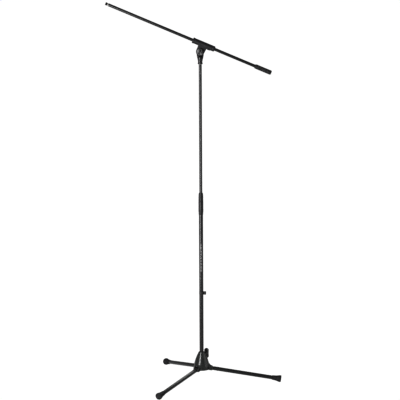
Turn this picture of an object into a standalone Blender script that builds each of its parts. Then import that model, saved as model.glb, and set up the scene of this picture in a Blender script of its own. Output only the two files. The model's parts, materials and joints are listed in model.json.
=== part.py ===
"""Boom microphone stand: folding three-leg base, telescopic pole and a tilting boom arm.

Metres, +Z up. The floor is z = 0 and the origin is the centre of the stand's footprint box.
"""

import math

import bmesh
import bpy

# Driving dimensions ---------------------------------------------------------------------

GAP = 0.0003                # clearance between pieces that touch
POLE_X = 0.0296             # pole axis, measured from the centre of the footprint box
POLE_Y = -0.0060

LEG_AZIMUTHS = (-1.9, 118.1, -121.9)
LEG_REACH = 0.3845          # pole axis to the centre of a foot's end face
LEG_PIVOT_R = 0.046         # pole axis to a leg's hinge pin
LEG_PIVOT_Z = 0.0681
FOOT_END_Z = 0.0147
LEG_R = 0.009
LEG_WALL = 0.0015
FOOT_R = 0.016
FOOT_LENGTH = 0.043
PIN_R = 0.003
PIN_HALF = 0.0148

BELL_TOP = 0.149
BELL_BOTTOM = 0.0625
BORE_FLOOR = 0.084          # where the pole's lower end rests inside the casting
SLOT_INNER_R = 0.0363       # how deep the leg slots reach towards the pole
SLOT_HALF = 0.0094
ARM_HALF = 0.014

KNOB_AZIMUTH = 58.0         # base clamp knob, halfway between two legs
KNOB_Z = 0.132
BOSS_END = 0.027

LOWER_R = 0.0095
LOWER_WALL = 0.0015
LOWER_BOTTOM = 0.0865
LOWER_TOP = 0.877
CLUTCH_BOTTOM = 0.8210
CLUTCH_JOINT = 0.889
CLUTCH_TOP = 0.9265

UPPER_R = 0.00675
UPPER_WALL = 0.0012
UPPER_BOTTOM = 0.790
UPPER_TOP = 1.5375

CLIP_Z = 0.4386
CLIP_HALF = 0.0072
CLIP_HOOK_X = 0.0182
CABLE_R = 0.0034

PIVOT_Z = 1.600             # height of the boom's tilt axis
BOOM_TILT = 22.95           # degrees, the tip raised
BOOM_OFFSET = 0.0365        # tilt axis to boom axis
BOOM_R = 0.00675
BOOM_WALL = 0.0012
BOOM_FRONT = 0.483          # ends of the boom tube, along the boom from the tilt axis
BOOM_REAR = -0.3435
TIP_REACH = 0.497
GRIP_START = -0.265
GRIP_END = -0.348
GRIP_R = 0.01025

EAR_R = 0.0182
EAR_HALF = 0.0046
WASHER_THICK = 0.001
CHEEK_R = 0.0195
CHEEK_IN = 0.0062
CHEEK_OUT = 0.0108
SLEEVE_R = 0.0122
SLEEVE_BORE = 0.009
SLEEVE_FRONT = 0.0450
SLEEVE_REAR = -0.0535
COLLAR_LENGTH = 0.0052
COLLAR_R = 0.0130
SCREW_X = -0.034            # boom clamp screw, along the boom
HEAD_R = 0.0046             # head of that screw
HEAD_TOP = 0.0248
HEAD_HEIGHT = 0.0040

COARSE = 16                 # sides of small round pieces
ROUND = 28                  # sides of large round pieces
CUTTER_TWIST = 0.09         # radians, keeps a cutter's edges off the edges of what it cuts

LEG_DROP = LEG_PIVOT_Z - FOOT_END_Z
LEG_RUN = LEG_REACH - LEG_PIVOT_R
LEG_SLOPE = math.atan2(LEG_DROP, LEG_RUN)
LEG_LENGTH = math.hypot(LEG_DROP, LEG_RUN)
HALF_TURN = math.pi
QUARTER = math.pi / 2


# Scene, materials and empties -----------------------------------------------------------

def clear_scene():
    for item in list(bpy.data.objects):
        bpy.data.objects.remove(item, do_unlink=True)


def new_collection(name):
    collection = bpy.data.collections.new(name)
    bpy.context.scene.collection.children.link(collection)
    return collection


def finish(name, color, roughness, metallic=0.0):
    material = bpy.data.materials.new(name)
    material.use_nodes = True
    shader = material.node_tree.nodes["Principled BSDF"]
    shader.inputs["Base Color"].default_value = (*color, 1.0)
    shader.inputs["Roughness"].default_value = roughness
    shader.inputs["Metallic"].default_value = metallic
    material.diffuse_color = (*color, 1.0)
    return material


def black_enamel(name):
    return finish(name, (0.020, 0.021, 0.022), 0.28)


def black_plastic(name):
    return finish(name, (0.025, 0.025, 0.027), 0.45)


def black_rubber(name):
    return finish(name, (0.030, 0.030, 0.031), 0.80)


def steel(name):
    return finish(name, (0.62, 0.62, 0.60), 0.30, 1.0)


def add_axis(name, parent, location, rotation=(0, 0, 0)):
    """An empty that carries a group of pieces on a joint axis."""
    axis = bpy.data.objects.new(name, None)
    axis.empty_display_size = 0.02
    PARTS.objects.link(axis)
    axis.parent = parent
    axis.location = location
    axis.rotation_euler = rotation
    return axis


# Shape helpers --------------------------------------------------------------------------

def place(item, collection, parent, location, rotation, material):
    collection.objects.link(item)
    item.parent = parent
    item.location = location
    item.rotation_euler = rotation
    if material is not None:
        item.data.materials.append(material)
    if collection == TOOLS:
        item.hide_render = True
        item.display_type = "WIRE"
    return item


def turned(name, profile, parent, material, closed=False, steps=COARSE,
           location=(0, 0, 0), rotation=(0, 0, 0), collection=None):
    """A shape turned about local Z. The profile's (radius, height) points run down its outside."""
    mesh = bpy.data.meshes.new(name)
    count = len(profile)
    edges = [(i, i + 1) for i in range(count - 1)]
    if closed:
        edges.append((count - 1, 0))
    twist = CUTTER_TWIST if collection == TOOLS else 0
    points = [(r * math.cos(twist), r * math.sin(twist), z) for r, z in profile]
    mesh.from_pydata(points, edges, [])
    item = bpy.data.objects.new(name, mesh)
    screw = item.modifiers.new("turn", "SCREW")
    screw.steps = steps
    screw.render_steps = steps
    screw.use_merge_vertices = True
    screw.merge_threshold = 0.00001
    screw.use_smooth_shade = True
    return place(item, collection or PARTS, parent, location, rotation, material)


def tube(name, outer, inner, bottom, top, parent, material, steps=ROUND, rotation=(0, 0, 0),
         location=(0, 0, 0)):
    profile = [(outer, top), (outer, bottom), (inner, bottom), (inner, top)]
    return turned(name, profile, parent, material, True, steps, location, rotation)


def rod(name, radius, bottom, top, parent, rotation=(0, 0, 0), location=(0, 0, 0), steps=COARSE,
        material=None, collection=None):
    profile = [(0, top), (radius, top), (radius, bottom), (0, bottom)]
    return turned(name, profile, parent, material, False, steps, location, rotation, collection)


def box(name, size, parent, location, rotation=(0, 0, 0)):
    """A cutter box with its size along local X, Y and Z."""
    mesh = bpy.data.meshes.new(name)
    shape = bmesh.new()
    bmesh.ops.create_cube(shape, size=1.0)
    bmesh.ops.scale(shape, vec=size, verts=shape.verts)
    shape.to_mesh(mesh)
    shape.free()
    item = bpy.data.objects.new(name, mesh)
    return place(item, TOOLS, parent, location, rotation, None)


def plate(name, outline, half, edge, parent, material=None, location=(0, 0, 0),
          rotation=(0, 0, 0), collection=None):
    """A flat outline in local XY, thickened by half each way, with rounded edges, as a mesh."""
    curve = bpy.data.curves.new(name + "_outline", "CURVE")
    curve.dimensions = "2D"
    curve.fill_mode = "BOTH"
    curve.extrude = half - edge
    curve.bevel_depth = edge
    curve.bevel_resolution = 1
    curve.offset = -edge
    spline = curve.splines.new("POLY")
    spline.points.add(len(outline) - 1)
    for point, (x, y) in zip(spline.points, outline):
        point.co = (x, y, 0, 1)
    spline.use_cyclic_u = True
    guide = bpy.data.objects.new(name + "_outline", curve)
    bpy.context.scene.collection.objects.link(guide)
    bpy.context.view_layer.update()
    evaluated = guide.evaluated_get(bpy.context.evaluated_depsgraph_get())
    mesh = bpy.data.meshes.new_from_object(evaluated)
    bpy.data.objects.remove(guide)
    shape = bmesh.new()
    shape.from_mesh(mesh)
    bmesh.ops.remove_doubles(shape, verts=shape.verts, dist=0.00002)
    bmesh.ops.recalc_face_normals(shape, faces=shape.faces)
    shape.to_mesh(mesh)
    shape.free()
    item = bpy.data.objects.new(name, mesh)
    return place(item, collection or PARTS, parent, location, rotation, material)


def combine(item, operation, *others):
    for other in others:
        step = item.modifiers.new(operation.lower() + "_" + other.name, "BOOLEAN")
        step.operation = operation
        step.object = other
    return item


def arc(cx, cy, radius, start, end, count):
    """Points along an arc from start to end, in degrees."""
    turns = [math.radians(start + (end - start) * i / (count - 1)) for i in range(count)]
    return [(cx + radius * math.cos(t), cy + radius * math.sin(t)) for t in turns]


# Base -----------------------------------------------------------------------------------

def make_base_casting(root):
    bell = [
        (0, BELL_TOP), (0.0128, BELL_TOP), (0.0140, BELL_TOP - 0.0012), (0.0175, 0.1400),
        (0.0238, 0.1270), (0.0298, 0.1120), (0.0345, 0.0960), (0.0385, 0.0790),
        (0.0400, 0.0665), (0.0388, BELL_BOTTOM), (0, BELL_BOTTOM),
    ]
    casting = turned("base_casting", bell, root, black_enamel("base_enamel"), steps=36)
    nose_r = 0.0098
    arm_outline = [(0.008, BELL_BOTTOM - 0.0006), (0.030, BELL_BOTTOM - 0.0013)]
    arm_outline += arc(LEG_PIVOT_R, LEG_PIVOT_Z, nose_r, -80, 60, 9)
    arm_outline += [
        (0.0470, 0.0795), (0.0425, 0.0845), (0.0385, 0.0905), (0.0358, 0.0965),
        (0.0335, 0.1020), (0.008, 0.1020),
    ]
    for number, azimuth in enumerate(LEG_AZIMUTHS, 1):
        turn = math.radians(azimuth)
        arm = plate(f"arm_{number}", arm_outline, ARM_HALF, 0.0022, root,
                    rotation=(QUARTER, 0, turn), collection=TOOLS)
        combine(casting, "UNION", arm)
    boss = rod("clamp_boss", 0.0085, 0.004, BOSS_END, root, collection=TOOLS,
               rotation=(0, QUARTER, math.radians(KNOB_AZIMUTH)), location=(0, 0, KNOB_Z))
    combine(casting, "UNION", boss)
    socket = rod("pole_socket", LOWER_R + GAP, BORE_FLOOR, 0.2, root, steps=ROUND,
                 collection=TOOLS)
    screw_hole = rod("clamp_hole", 0.0043, 0.005, 0.05, root, collection=TOOLS,
                     rotation=(0, QUARTER, math.radians(KNOB_AZIMUTH)), location=(0, 0, KNOB_Z))
    slot_length = 0.08
    for number, azimuth in enumerate(LEG_AZIMUTHS, 1):
        turn = math.radians(azimuth)
        middle = SLOT_INNER_R + slot_length / 2
        spot = (middle * math.cos(turn), middle * math.sin(turn), 0.1)
        slot = box(f"leg_slot_{number}", (slot_length, 2 * SLOT_HALF, 0.12), root, spot,
                   (0, 0, turn))
        pin_spot = (LEG_PIVOT_R * math.cos(turn), LEG_PIVOT_R * math.sin(turn), LEG_PIVOT_Z)
        pin_hole = rod(f"pin_hole_{number}", PIN_R + GAP, -0.03, 0.03, root, collection=TOOLS,
                       rotation=(QUARTER, 0, turn), location=pin_spot)
        combine(casting, "DIFFERENCE", slot, pin_hole)
    combine(casting, "DIFFERENCE", socket, screw_hole)


def make_leg_pin(number, hinge):
    """Plain pin across a leg slot, its ends a little proud of the arm's cheeks."""
    edge = 0.0005
    profile = [
        (0, PIN_HALF), (PIN_R - edge, PIN_HALF), (PIN_R, PIN_HALF - edge),
        (PIN_R, edge - PIN_HALF), (PIN_R - edge, -PIN_HALF), (0, -PIN_HALF),
    ]
    turned(f"leg_pivot_pin_{number}", profile, hinge, steel(f"pin_steel_{number}"),
           rotation=(QUARTER, 0, 0))


def make_base_clamp(axis):
    stud_end = 0.0425
    rod("base_clamp_screw", 0.0039, LOWER_R + GAP, stud_end, axis,
        material=steel("base_screw_steel"))
    hub_start = 0.031
    hub_end = 0.050
    hub = [
        (0, hub_end), (0.0062, hub_end), (0.0078, hub_end - 0.0016), (0.0085, hub_start),
        (0.0042, hub_start), (0.0042, stud_end + GAP), (0, stud_end + GAP),
    ]
    knob = turned("base_wing_knob", hub, axis, black_plastic("base_knob_plastic"), steps=20)
    lobe = [(0.0030, 0.0100)] + arc(0.0137, 0, 0.0108, 80, -80, 9) + [(0.0030, -0.0100)]
    far_lobe = [(-x, -y) for x, y in lobe]
    wings = plate("base_wings", far_lobe + lobe, 0.0048, 0.0016, axis,
                  location=(0, 0, 0.0448), collection=TOOLS)
    hollow = rod("base_wing_core", 0.0042, 0.030, stud_end + GAP, axis, collection=TOOLS)
    combine(knob, "UNION", wings)
    combine(knob, "DIFFERENCE", hollow)


# Legs -----------------------------------------------------------------------------------

def make_leg(number, hinge):
    tube_start = 0.012
    tube_end = LEG_LENGTH - 0.006
    along = (0, QUARTER, 0)
    inner_r = LEG_R - LEG_WALL
    rivet_x = 0.032
    rivet_r = 0.0016

    leg = tube(f"leg_tube_{number}", LEG_R, inner_r, tube_start, tube_end, hinge,
               black_enamel(f"leg_enamel_{number}"), rotation=along, steps=24)
    outline = arc(0, 0, 0.0085, 90, 270, 9) + [(0.0115, -0.0072), (0.0115, 0.0072)]
    knuckle = plate(f"leg_knuckle_{number}", outline, 0.0082, 0.0008, hinge,
                    black_enamel(f"knuckle_enamel_{number}"), rotation=(QUARTER, 0, 0))
    plug = rod(f"knuckle_plug_{number}", inner_r - GAP, 0.006, 0.038, hinge, rotation=along,
               collection=TOOLS)
    pin_hole = rod(f"knuckle_hole_{number}", PIN_R + GAP, -0.02, 0.02, hinge,
                   rotation=(QUARTER, 0, 0), collection=TOOLS)
    rivet_hole = rod(f"rivet_hole_{number}", rivet_r + GAP, -0.02, 0.02, hinge, steps=12,
                     location=(rivet_x, 0, 0), collection=TOOLS)
    combine(knuckle, "UNION", plug)
    combine(knuckle, "DIFFERENCE", pin_hole, rivet_hole)
    combine(leg, "DIFFERENCE", rivet_hole)

    top = LEG_R + GAP
    dome = 0.0009
    rivet = [
        (0, top + dome), (rivet_r, top + dome * 0.7), (0.0026, top), (rivet_r, top),
        (rivet_r, -top), (0.0026, -top), (rivet_r, -top - dome * 0.7), (0, -top - dome),
    ]
    turned(f"leg_rivet_{number}", rivet, hinge, steel(f"rivet_steel_{number}"), steps=12,
           location=(rivet_x, 0, 0))


def make_foot(number, hinge, floor):
    """Bell-shaped rubber foot pushed over the leg's end, with a flat where it rests."""
    end = LEG_LENGTH
    start = end - FOOT_LENGTH
    bore = LEG_R + GAP
    profile = [
        (0, end), (FOOT_R - 0.0012, end), (FOOT_R, end - 0.0012), (FOOT_R, end - 0.0075),
        (0.0148, end - 0.0125), (0.0124, end - 0.0230), (0.0111, end - 0.0340),
        (0.0106, start), (bore, start), (bore, end - 0.0055), (0, end - 0.0055),
    ]
    foot = turned(f"foot_cap_{number}", profile, hinge, black_rubber(f"foot_rubber_{number}"),
                  rotation=(0, QUARTER, 0), steps=24)
    combine(foot, "DIFFERENCE", floor)


# Pole -----------------------------------------------------------------------------------

def make_lower_pole(root):
    tube("lower_tube", LOWER_R, LOWER_R - LOWER_WALL, LOWER_BOTTOM, LOWER_TOP, root,
         black_enamel("lower_tube_enamel"))
    plug_r = LOWER_R - LOWER_WALL - GAP
    plug_top = LOWER_BOTTOM + 0.018
    flange = LOWER_BOTTOM - GAP
    plug = [
        (0, plug_top), (plug_r - 0.001, plug_top), (plug_r, plug_top - 0.001), (plug_r, flange),
        (LOWER_R, flange), (LOWER_R, BORE_FLOOR + GAP), (0, BORE_FLOOR + GAP),
    ]
    turned("pole_end_plug", plug, root, black_plastic("end_plug_plastic"))


def make_clutch(root):
    inner = LOWER_R + GAP
    neck = UPPER_R + 2 * GAP
    seat = LOWER_TOP + GAP
    body = [
        (0.0112, CLUTCH_JOINT), (0.0112, 0.8530), (0.0114, 0.8460), (0.0114, 0.8400),
        (0.0110, 0.8345), (0.0106, 0.8280), (0.0103, CLUTCH_BOTTOM), (inner, CLUTCH_BOTTOM),
        (inner, CLUTCH_JOINT),
    ]
    turned("clutch_body", body, root, black_plastic("clutch_body_plastic"), True, ROUND)
    low = CLUTCH_JOINT + GAP
    grip = [
        (neck, CLUTCH_TOP), (0.0080, CLUTCH_TOP), (0.0090, CLUTCH_TOP - 0.0018),
        (0.0101, CLUTCH_TOP - 0.0070), (0.0106, CLUTCH_TOP - 0.0125), (0.0108, 0.9080),
        (0.0109, low), (inner, low), (inner, 0.9200), (neck, 0.9220),
    ]
    turned("clutch_grip", grip, root, black_plastic("clutch_grip_plastic"), True, ROUND)
    collet = [
        (LOWER_R - GAP, 0.9190), (LOWER_R - GAP, seat), (UPPER_R + GAP, seat),
        (UPPER_R + GAP, 0.9190),
    ]
    turned("clutch_collet", collet, root, black_plastic("collet_plastic"), True, 20)


def make_cable_clip(axis):
    """Spring ring round the tube with a small open hook for a cable."""
    outer = LOWER_R + 0.0018
    inner = LOWER_R + GAP
    hook_r = CABLE_R + 0.0017
    outline = arc(0, 0, outer, 150, 14, 10)
    outline += arc(CLIP_HOOK_X, 0, hook_r, 148, 30, 7)
    outline += arc(CLIP_HOOK_X, 0, CABLE_R, 42, 318, 13)
    outline += arc(CLIP_HOOK_X, 0, hook_r, 330, 212, 7)
    outline += arc(0, 0, outer, -14, -150, 10)
    outline += arc(0, 0, inner, -150, 150, 17)
    plate("cable_clip", outline, CLIP_HALF, 0.0003, axis, black_plastic("clip_plastic"))


def make_upper_pole(root):
    tube("upper_tube", UPPER_R, UPPER_R - UPPER_WALL, UPPER_BOTTOM, UPPER_TOP, root,
         black_enamel("upper_tube_enamel"), steps=24)
    tube("glide_bush", LOWER_R - LOWER_WALL - GAP, UPPER_R + GAP, UPPER_BOTTOM,
         UPPER_BOTTOM + 0.030, root, black_plastic("glide_plastic"), steps=20)
    plug_r = UPPER_R - UPPER_WALL - GAP
    collar = UPPER_TOP + GAP
    flange = PIVOT_Z - 0.059
    stud = [
        (0, flange + 0.015), (0.0040, flange + 0.015), (0.0046, flange + 0.014),
        (0.0046, flange - GAP), (0.0064, flange - GAP), (0.0064, collar), (plug_r, collar),
        (plug_r, UPPER_TOP - 0.025), (0, UPPER_TOP - 0.025),
    ]
    turned("pole_stud", stud, root, steel("pole_stud_steel"), steps=20)


# Swivel ---------------------------------------------------------------------------------

def make_swivel_socket(root):
    """Round neck screwed onto the pole, widening into a flat ear for the tilt bolt."""
    neck = [
        (0, -0.0205), (0.0085, -0.0208), (0.0115, -0.0245), (0.0128, -0.0295),
        (0.0126, -0.0335), (0.0117, -0.0385), (0.0108, -0.0430), (0.0102, -0.0475),
        (0.0101, -0.0525), (0.0112, -0.0535), (0.0112, -0.0590), (0.0049, -0.0590),
        (0.0049, -0.0435), (0, -0.0435),
    ]
    socket = turned("swivel_socket", neck, root, black_enamel("socket_enamel"),
                    steps=24, location=(0, 0, PIVOT_Z))
    outline = arc(0, 0, EAR_R, -25, 205, 17) + [
        (-0.0160, -0.0180), (-0.0150, -0.0235), (-0.0139, -0.0290), (-0.0124, -0.0345),
        (-0.0100, -0.0390), (0.0100, -0.0390), (0.0124, -0.0345), (0.0139, -0.0290),
        (0.0150, -0.0235), (0.0160, -0.0180),
    ]
    ear = plate("swivel_ear", outline, EAR_HALF, 0.0008, root, location=(0, 0, PIVOT_Z),
                rotation=(QUARTER, 0, 0), collection=TOOLS)
    hole = rod("ear_hole", PIN_R + GAP, -0.02, 0.02, root, rotation=(QUARTER, 0, 0),
               location=(0, 0, PIVOT_Z), collection=TOOLS)
    combine(socket, "UNION", ear)
    combine(socket, "DIFFERENCE", hole)


def make_tilt_hardware(tilt):
    across = (-QUARTER, 0, 0)
    head = CHEEK_OUT + GAP
    bolt = [
        (0, 0.0174), (0.0024, 0.0174), (PIN_R, 0.0168), (PIN_R, -head), (0.0075, -head),
        (0.0075, -head - 0.0030), (0.0060, -head - 0.0048), (0, -head - 0.0052),
    ]
    turned("tilt_bolt", bolt, tilt, steel("tilt_bolt_steel"), rotation=across)
    for side, label in ((1, "front"), (-1, "rear")):
        near = side * (EAR_HALF + GAP)
        far = side * (EAR_HALF + GAP + WASHER_THICK)
        tube(f"friction_washer_{label}", 0.0150, PIN_R + GAP, min(near, far), max(near, far),
             tilt, black_plastic(f"washer_fibre_{label}"), rotation=across, steps=20)


def make_tilt_knob(tilt):
    """Round wing knob with a raised S-shaped grip."""
    across = (-QUARTER, 0, 0)
    back = CHEEK_OUT + 2 * GAP
    face = back + 0.0072
    bore = PIN_R + GAP
    disc = [
        (0, face), (0.0140, face), (0.0165, face - 0.0012), (0.0172, face - 0.0034),
        (0.0166, back + 0.0010), (0.0152, back), (bore, back), (bore, 0.0178), (0, 0.0178),
    ]
    knob = turned("tilt_wing_knob", disc, tilt, black_plastic("tilt_knob_plastic"), steps=ROUND,
                  rotation=across)
    half_width = 0.0031
    count = 11
    left = []
    right = []
    for i in range(count):
        t = -1 + 2 * i / (count - 1)
        x = 0.0048 * math.sin(math.pi * t)
        y = 0.0142 * t
        dx = 0.0048 * math.pi * math.cos(math.pi * t)
        dy = 0.0142
        size = math.hypot(dx, dy)
        left.append((x - half_width * dy / size, y + half_width * dx / size))
        right.append((x + half_width * dy / size, y - half_width * dx / size))
    blade_height = 0.0120
    blade = plate("knob_blade", right + left[::-1], blade_height / 2, 0.0010, tilt,
                  location=(0, face - 0.001 + blade_height / 2, 0), rotation=across,
                  collection=TOOLS)
    combine(knob, "UNION", blade)


# Boom -----------------------------------------------------------------------------------

def make_boom_sleeve(tilt):
    """Long sleeve for the boom on two cheeks that straddle the swivel's ear."""
    along = (0, QUARTER, 0)
    line = (0, 0, BOOM_OFFSET)
    sleeve = rod("boom_clamp_sleeve", SLEEVE_R, SLEEVE_REAR, SLEEVE_FRONT, tilt, along, line,
                 steps=ROUND, material=black_plastic("sleeve_plastic"))
    outline = arc(0, 0, CHEEK_R, 188, 352, 11) + [
        (0.0193, 0.0080), (0.0193, 0.0150), (0.0215, 0.0340),
        (-0.0225, 0.0340), (-0.0212, 0.0150), (-0.0205, 0.0080),
    ]
    half = (CHEEK_OUT - CHEEK_IN) / 2
    for side, label in ((1, "front"), (-1, "rear")):
        cheek = plate(f"cheek_{label}", outline, half, 0.0008, tilt, rotation=(QUARTER, 0, 0),
                      location=(0, side * (CHEEK_IN + half), 0), collection=TOOLS)
        combine(sleeve, "UNION", cheek)
    boss_outline = [
        (-0.0150, 0.0216), (-0.0300, 0.0221), (-0.0420, 0.0238), (-0.0485, 0.0262),
        (-0.0485, 0.0330), (-0.0150, 0.0330),
    ]
    boss = plate("screw_boss", boss_outline[::-1], 0.0080, 0.0012, tilt,
                 rotation=(QUARTER, 0, 0), collection=TOOLS)
    bore = rod("sleeve_bore", SLEEVE_BORE, -0.1, 0.1, tilt, along, line, steps=ROUND,
               collection=TOOLS)
    pivot = rod("cheek_hole", PIN_R + GAP, -0.02, 0.02, tilt, rotation=(QUARTER, 0, 0),
                collection=TOOLS)
    pocket = rod("pad_pocket", 0.0049, 0.0269, 0.0350, tilt, location=(SCREW_X, 0, 0),
                 collection=TOOLS)
    recess = rod("head_recess", HEAD_R + 0.0005, 0.0100, HEAD_TOP + GAP, tilt,
                 location=(SCREW_X, 0, 0), steps=20, collection=TOOLS)
    thread = rod("screw_thread", 0.0028, 0.01, 0.0340, tilt, location=(SCREW_X, 0, 0),
                 collection=TOOLS)
    combine(sleeve, "UNION", boss)
    combine(sleeve, "DIFFERENCE", bore, pivot, recess, pocket, thread)


def make_sleeve_bushes(tilt):
    spigot = SLEEVE_BORE - GAP
    depth = 0.006
    bore = BOOM_R + GAP
    sides = ((1, "front", SLEEVE_FRONT, 0.0012), (-1, "rear", SLEEVE_REAR, 0.0032))
    for side, label, edge, chamfer in sides:
        near = abs(edge) + GAP
        far = near + COLLAR_LENGTH
        profile = [
            (bore, far), (COLLAR_R - chamfer, far), (COLLAR_R, far - chamfer), (COLLAR_R, near),
            (spigot, near), (spigot, near - depth), (bore, near - depth),
        ]
        turned(f"sleeve_bush_{label}", profile, tilt, black_plastic(f"bush_plastic_{label}"),
               True, ROUND, (0, 0, BOOM_OFFSET), (0, side * QUARTER, 0))


def make_boom_screw(tilt):
    tip = 0.0266
    low = HEAD_TOP - HEAD_HEIGHT
    profile = [
        (0, tip), (0.0025, tip), (0.0025, HEAD_TOP), (HEAD_R, HEAD_TOP), (HEAD_R, low + 0.0006),
        (HEAD_R - 0.0006, low), (0.0021, low), (0.0021, low + 0.0018), (0, low + 0.0018),
    ]
    turned("boom_clamp_screw", profile, tilt, steel("clamp_screw_steel"), steps=20,
           location=(SCREW_X, 0, 0))
    rod("boom_clamp_pad", 0.0046, tip + GAP + GAP, BOOM_OFFSET - BOOM_R - GAP, tilt,
        location=(SCREW_X, 0, 0), material=black_plastic("clamp_pad_plastic"))


def make_boom(tilt):
    along = (0, QUARTER, 0)
    line = (0, 0, BOOM_OFFSET)
    inner = BOOM_R - BOOM_WALL
    tube("boom_tube", BOOM_R, inner, BOOM_REAR, BOOM_FRONT, tilt,
         black_enamel("boom_tube_enamel"), rotation=along, location=line, steps=24)
    plug_r = inner - GAP
    shoulder = BOOM_FRONT + GAP
    stud_end = TIP_REACH - 0.0032
    stud = [
        (0, stud_end), (0.0043, stud_end), (0.0046, stud_end - 0.0006), (0.0046, shoulder + 0.0015),
        (0.0062, shoulder + 0.0012), (0.0062, shoulder), (plug_r, shoulder),
        (plug_r, BOOM_FRONT - 0.020), (0, BOOM_FRONT - 0.020),
    ]
    turned("tip_stud", stud, tilt, steel("tip_stud_steel"), steps=20, location=line,
           rotation=along)
    core_end = BOOM_REAR + 0.075
    rod("counterweight_core", plug_r, BOOM_REAR + 0.001, core_end, tilt, along, line,
        material=steel("core_steel"))
    bore = BOOM_R + GAP
    cap = GRIP_END + 0.0040
    groove = GRIP_END + 0.0448
    grip = [
        (0, cap), (bore, cap), (bore, GRIP_START), (0.0088, GRIP_START),
        (0.0096, GRIP_START - 0.0015), (GRIP_R, GRIP_START - 0.0080), (GRIP_R, groove + 0.0012),
        (0.0098, groove), (GRIP_R, groove - 0.0012), (GRIP_R, GRIP_END + 0.0060),
        (0.0094, GRIP_END + 0.0012), (0.0080, GRIP_END), (0, GRIP_END),
    ]
    turned("rear_grip", grip, tilt, black_rubber("grip_rubber"), steps=24, location=line,
           rotation=along)


def make_thread_adapter(tilt):
    bore = 0.0050
    mouth = BOOM_FRONT + 0.0050
    depth = TIP_REACH - 0.0028
    profile = [
        (0, TIP_REACH), (0.0062, TIP_REACH), (0.0069, TIP_REACH - 0.0008),
        (0.0069, mouth + 0.0008), (0.0064, mouth), (bore, mouth), (bore, depth), (0, depth),
    ]
    turned("thread_adapter", profile, tilt, black_plastic("adapter_plastic"), steps=20,
           location=(0, 0, BOOM_OFFSET), rotation=(0, QUARTER, 0))


# Assembly -------------------------------------------------------------------------------

def build():
    root = add_axis("pole_axis", None, (POLE_X, POLE_Y, 0))
    floor = box("floor_plane", (1.2, 1.2, 0.1), root, (0, 0, -0.05))
    make_base_casting(root)
    knob_axis = add_axis("base_knob_axis", root, (0, 0, KNOB_Z),
                         (0, QUARTER, math.radians(KNOB_AZIMUTH)))
    make_base_clamp(knob_axis)
    for number, azimuth in enumerate(LEG_AZIMUTHS, 1):
        turn = math.radians(azimuth)
        spot = (LEG_PIVOT_R * math.cos(turn), LEG_PIVOT_R * math.sin(turn), LEG_PIVOT_Z)
        hinge = add_axis(f"leg_hinge_{number}", root, spot, (0, LEG_SLOPE, turn))
        make_leg_pin(number, hinge)
        make_leg(number, hinge)
        make_foot(number, hinge, floor)
    make_lower_pole(root)
    make_clutch(root)
    make_cable_clip(add_axis("clip_axis", root, (0, 0, CLIP_Z)))
    make_upper_pole(root)
    make_swivel_socket(root)
    tilt = add_axis("tilt_axis", root, (0, 0, PIVOT_Z), (0, -math.radians(BOOM_TILT), HALF_TURN))
    make_tilt_hardware(tilt)
    make_tilt_knob(tilt)
    make_boom_sleeve(tilt)
    make_sleeve_bushes(tilt)
    make_boom_screw(tilt)
    make_boom(tilt)
    make_thread_adapter(tilt)


clear_scene()
PARTS = new_collection("boom_microphone_stand")
TOOLS = new_collection("cutters")
build()
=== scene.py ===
"""Looks of the boom microphone stand: fine meshes, materials, floor, lights and camera."""

import json
import math

import bmesh
import bpy
from mathutils import Matrix, Vector


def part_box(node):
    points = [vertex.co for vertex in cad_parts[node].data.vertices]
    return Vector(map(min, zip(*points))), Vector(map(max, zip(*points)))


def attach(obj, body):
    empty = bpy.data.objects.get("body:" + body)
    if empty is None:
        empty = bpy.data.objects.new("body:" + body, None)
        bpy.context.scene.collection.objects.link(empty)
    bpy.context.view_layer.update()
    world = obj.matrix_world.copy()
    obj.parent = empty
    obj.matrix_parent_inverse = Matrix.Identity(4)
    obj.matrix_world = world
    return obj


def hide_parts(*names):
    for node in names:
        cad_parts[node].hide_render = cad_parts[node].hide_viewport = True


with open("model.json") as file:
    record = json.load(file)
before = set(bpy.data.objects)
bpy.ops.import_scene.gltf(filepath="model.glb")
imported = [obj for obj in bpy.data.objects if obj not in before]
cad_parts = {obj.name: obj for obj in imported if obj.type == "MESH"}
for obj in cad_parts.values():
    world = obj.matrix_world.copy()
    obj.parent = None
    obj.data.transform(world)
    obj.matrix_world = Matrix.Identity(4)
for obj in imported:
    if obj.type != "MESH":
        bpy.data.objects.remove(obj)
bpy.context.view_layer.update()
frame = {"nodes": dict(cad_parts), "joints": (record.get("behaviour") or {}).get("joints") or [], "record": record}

# Places and sizes, from the frame ---------------------------------------------------------

RECORD = frame["record"]
JOINTS = {joint["name"]: joint for joint in frame["joints"]}
BODY_OF = {
    node: body for body, nodes in RECORD["behaviour"]["bodies"].items() for node in nodes
}
MM = 0.001
QUARTER = math.pi / 2
GAP = 0.3 * MM
LOWER_WALL = 1.5 * MM
UPPER_WALL = 1.2 * MM
THREAD_R = 4.6 * MM
THREAD_DEPTH = 0.35 * MM
BOOM_R = 6.75 * MM
BOOM_BORE = 7.05 * MM

PIVOT = Vector(JOINTS["boom_tilt"]["pos_m"])
POLE_FOOT = Vector((PIVOT.x, PIVOT.y, 0))
POLE = Matrix.Translation(POLE_FOOT)
BOOM_LINE = Vector(JOINTS["boom_slide"]["axis"]).normalized()
BOOM_UP = BOOM_LINE.cross(Vector((0, 1, 0))).normalized()
if BOOM_UP.z < 0:
    BOOM_UP = -BOOM_UP


def axes_frame(origin, x_axis, z_axis):
    """A frame at origin with the given local X and Z directions."""
    y_axis = z_axis.cross(x_axis)
    turn = Matrix((x_axis, y_axis, z_axis)).transposed()
    return Matrix.Translation(origin) @ turn.to_4x4()


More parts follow.
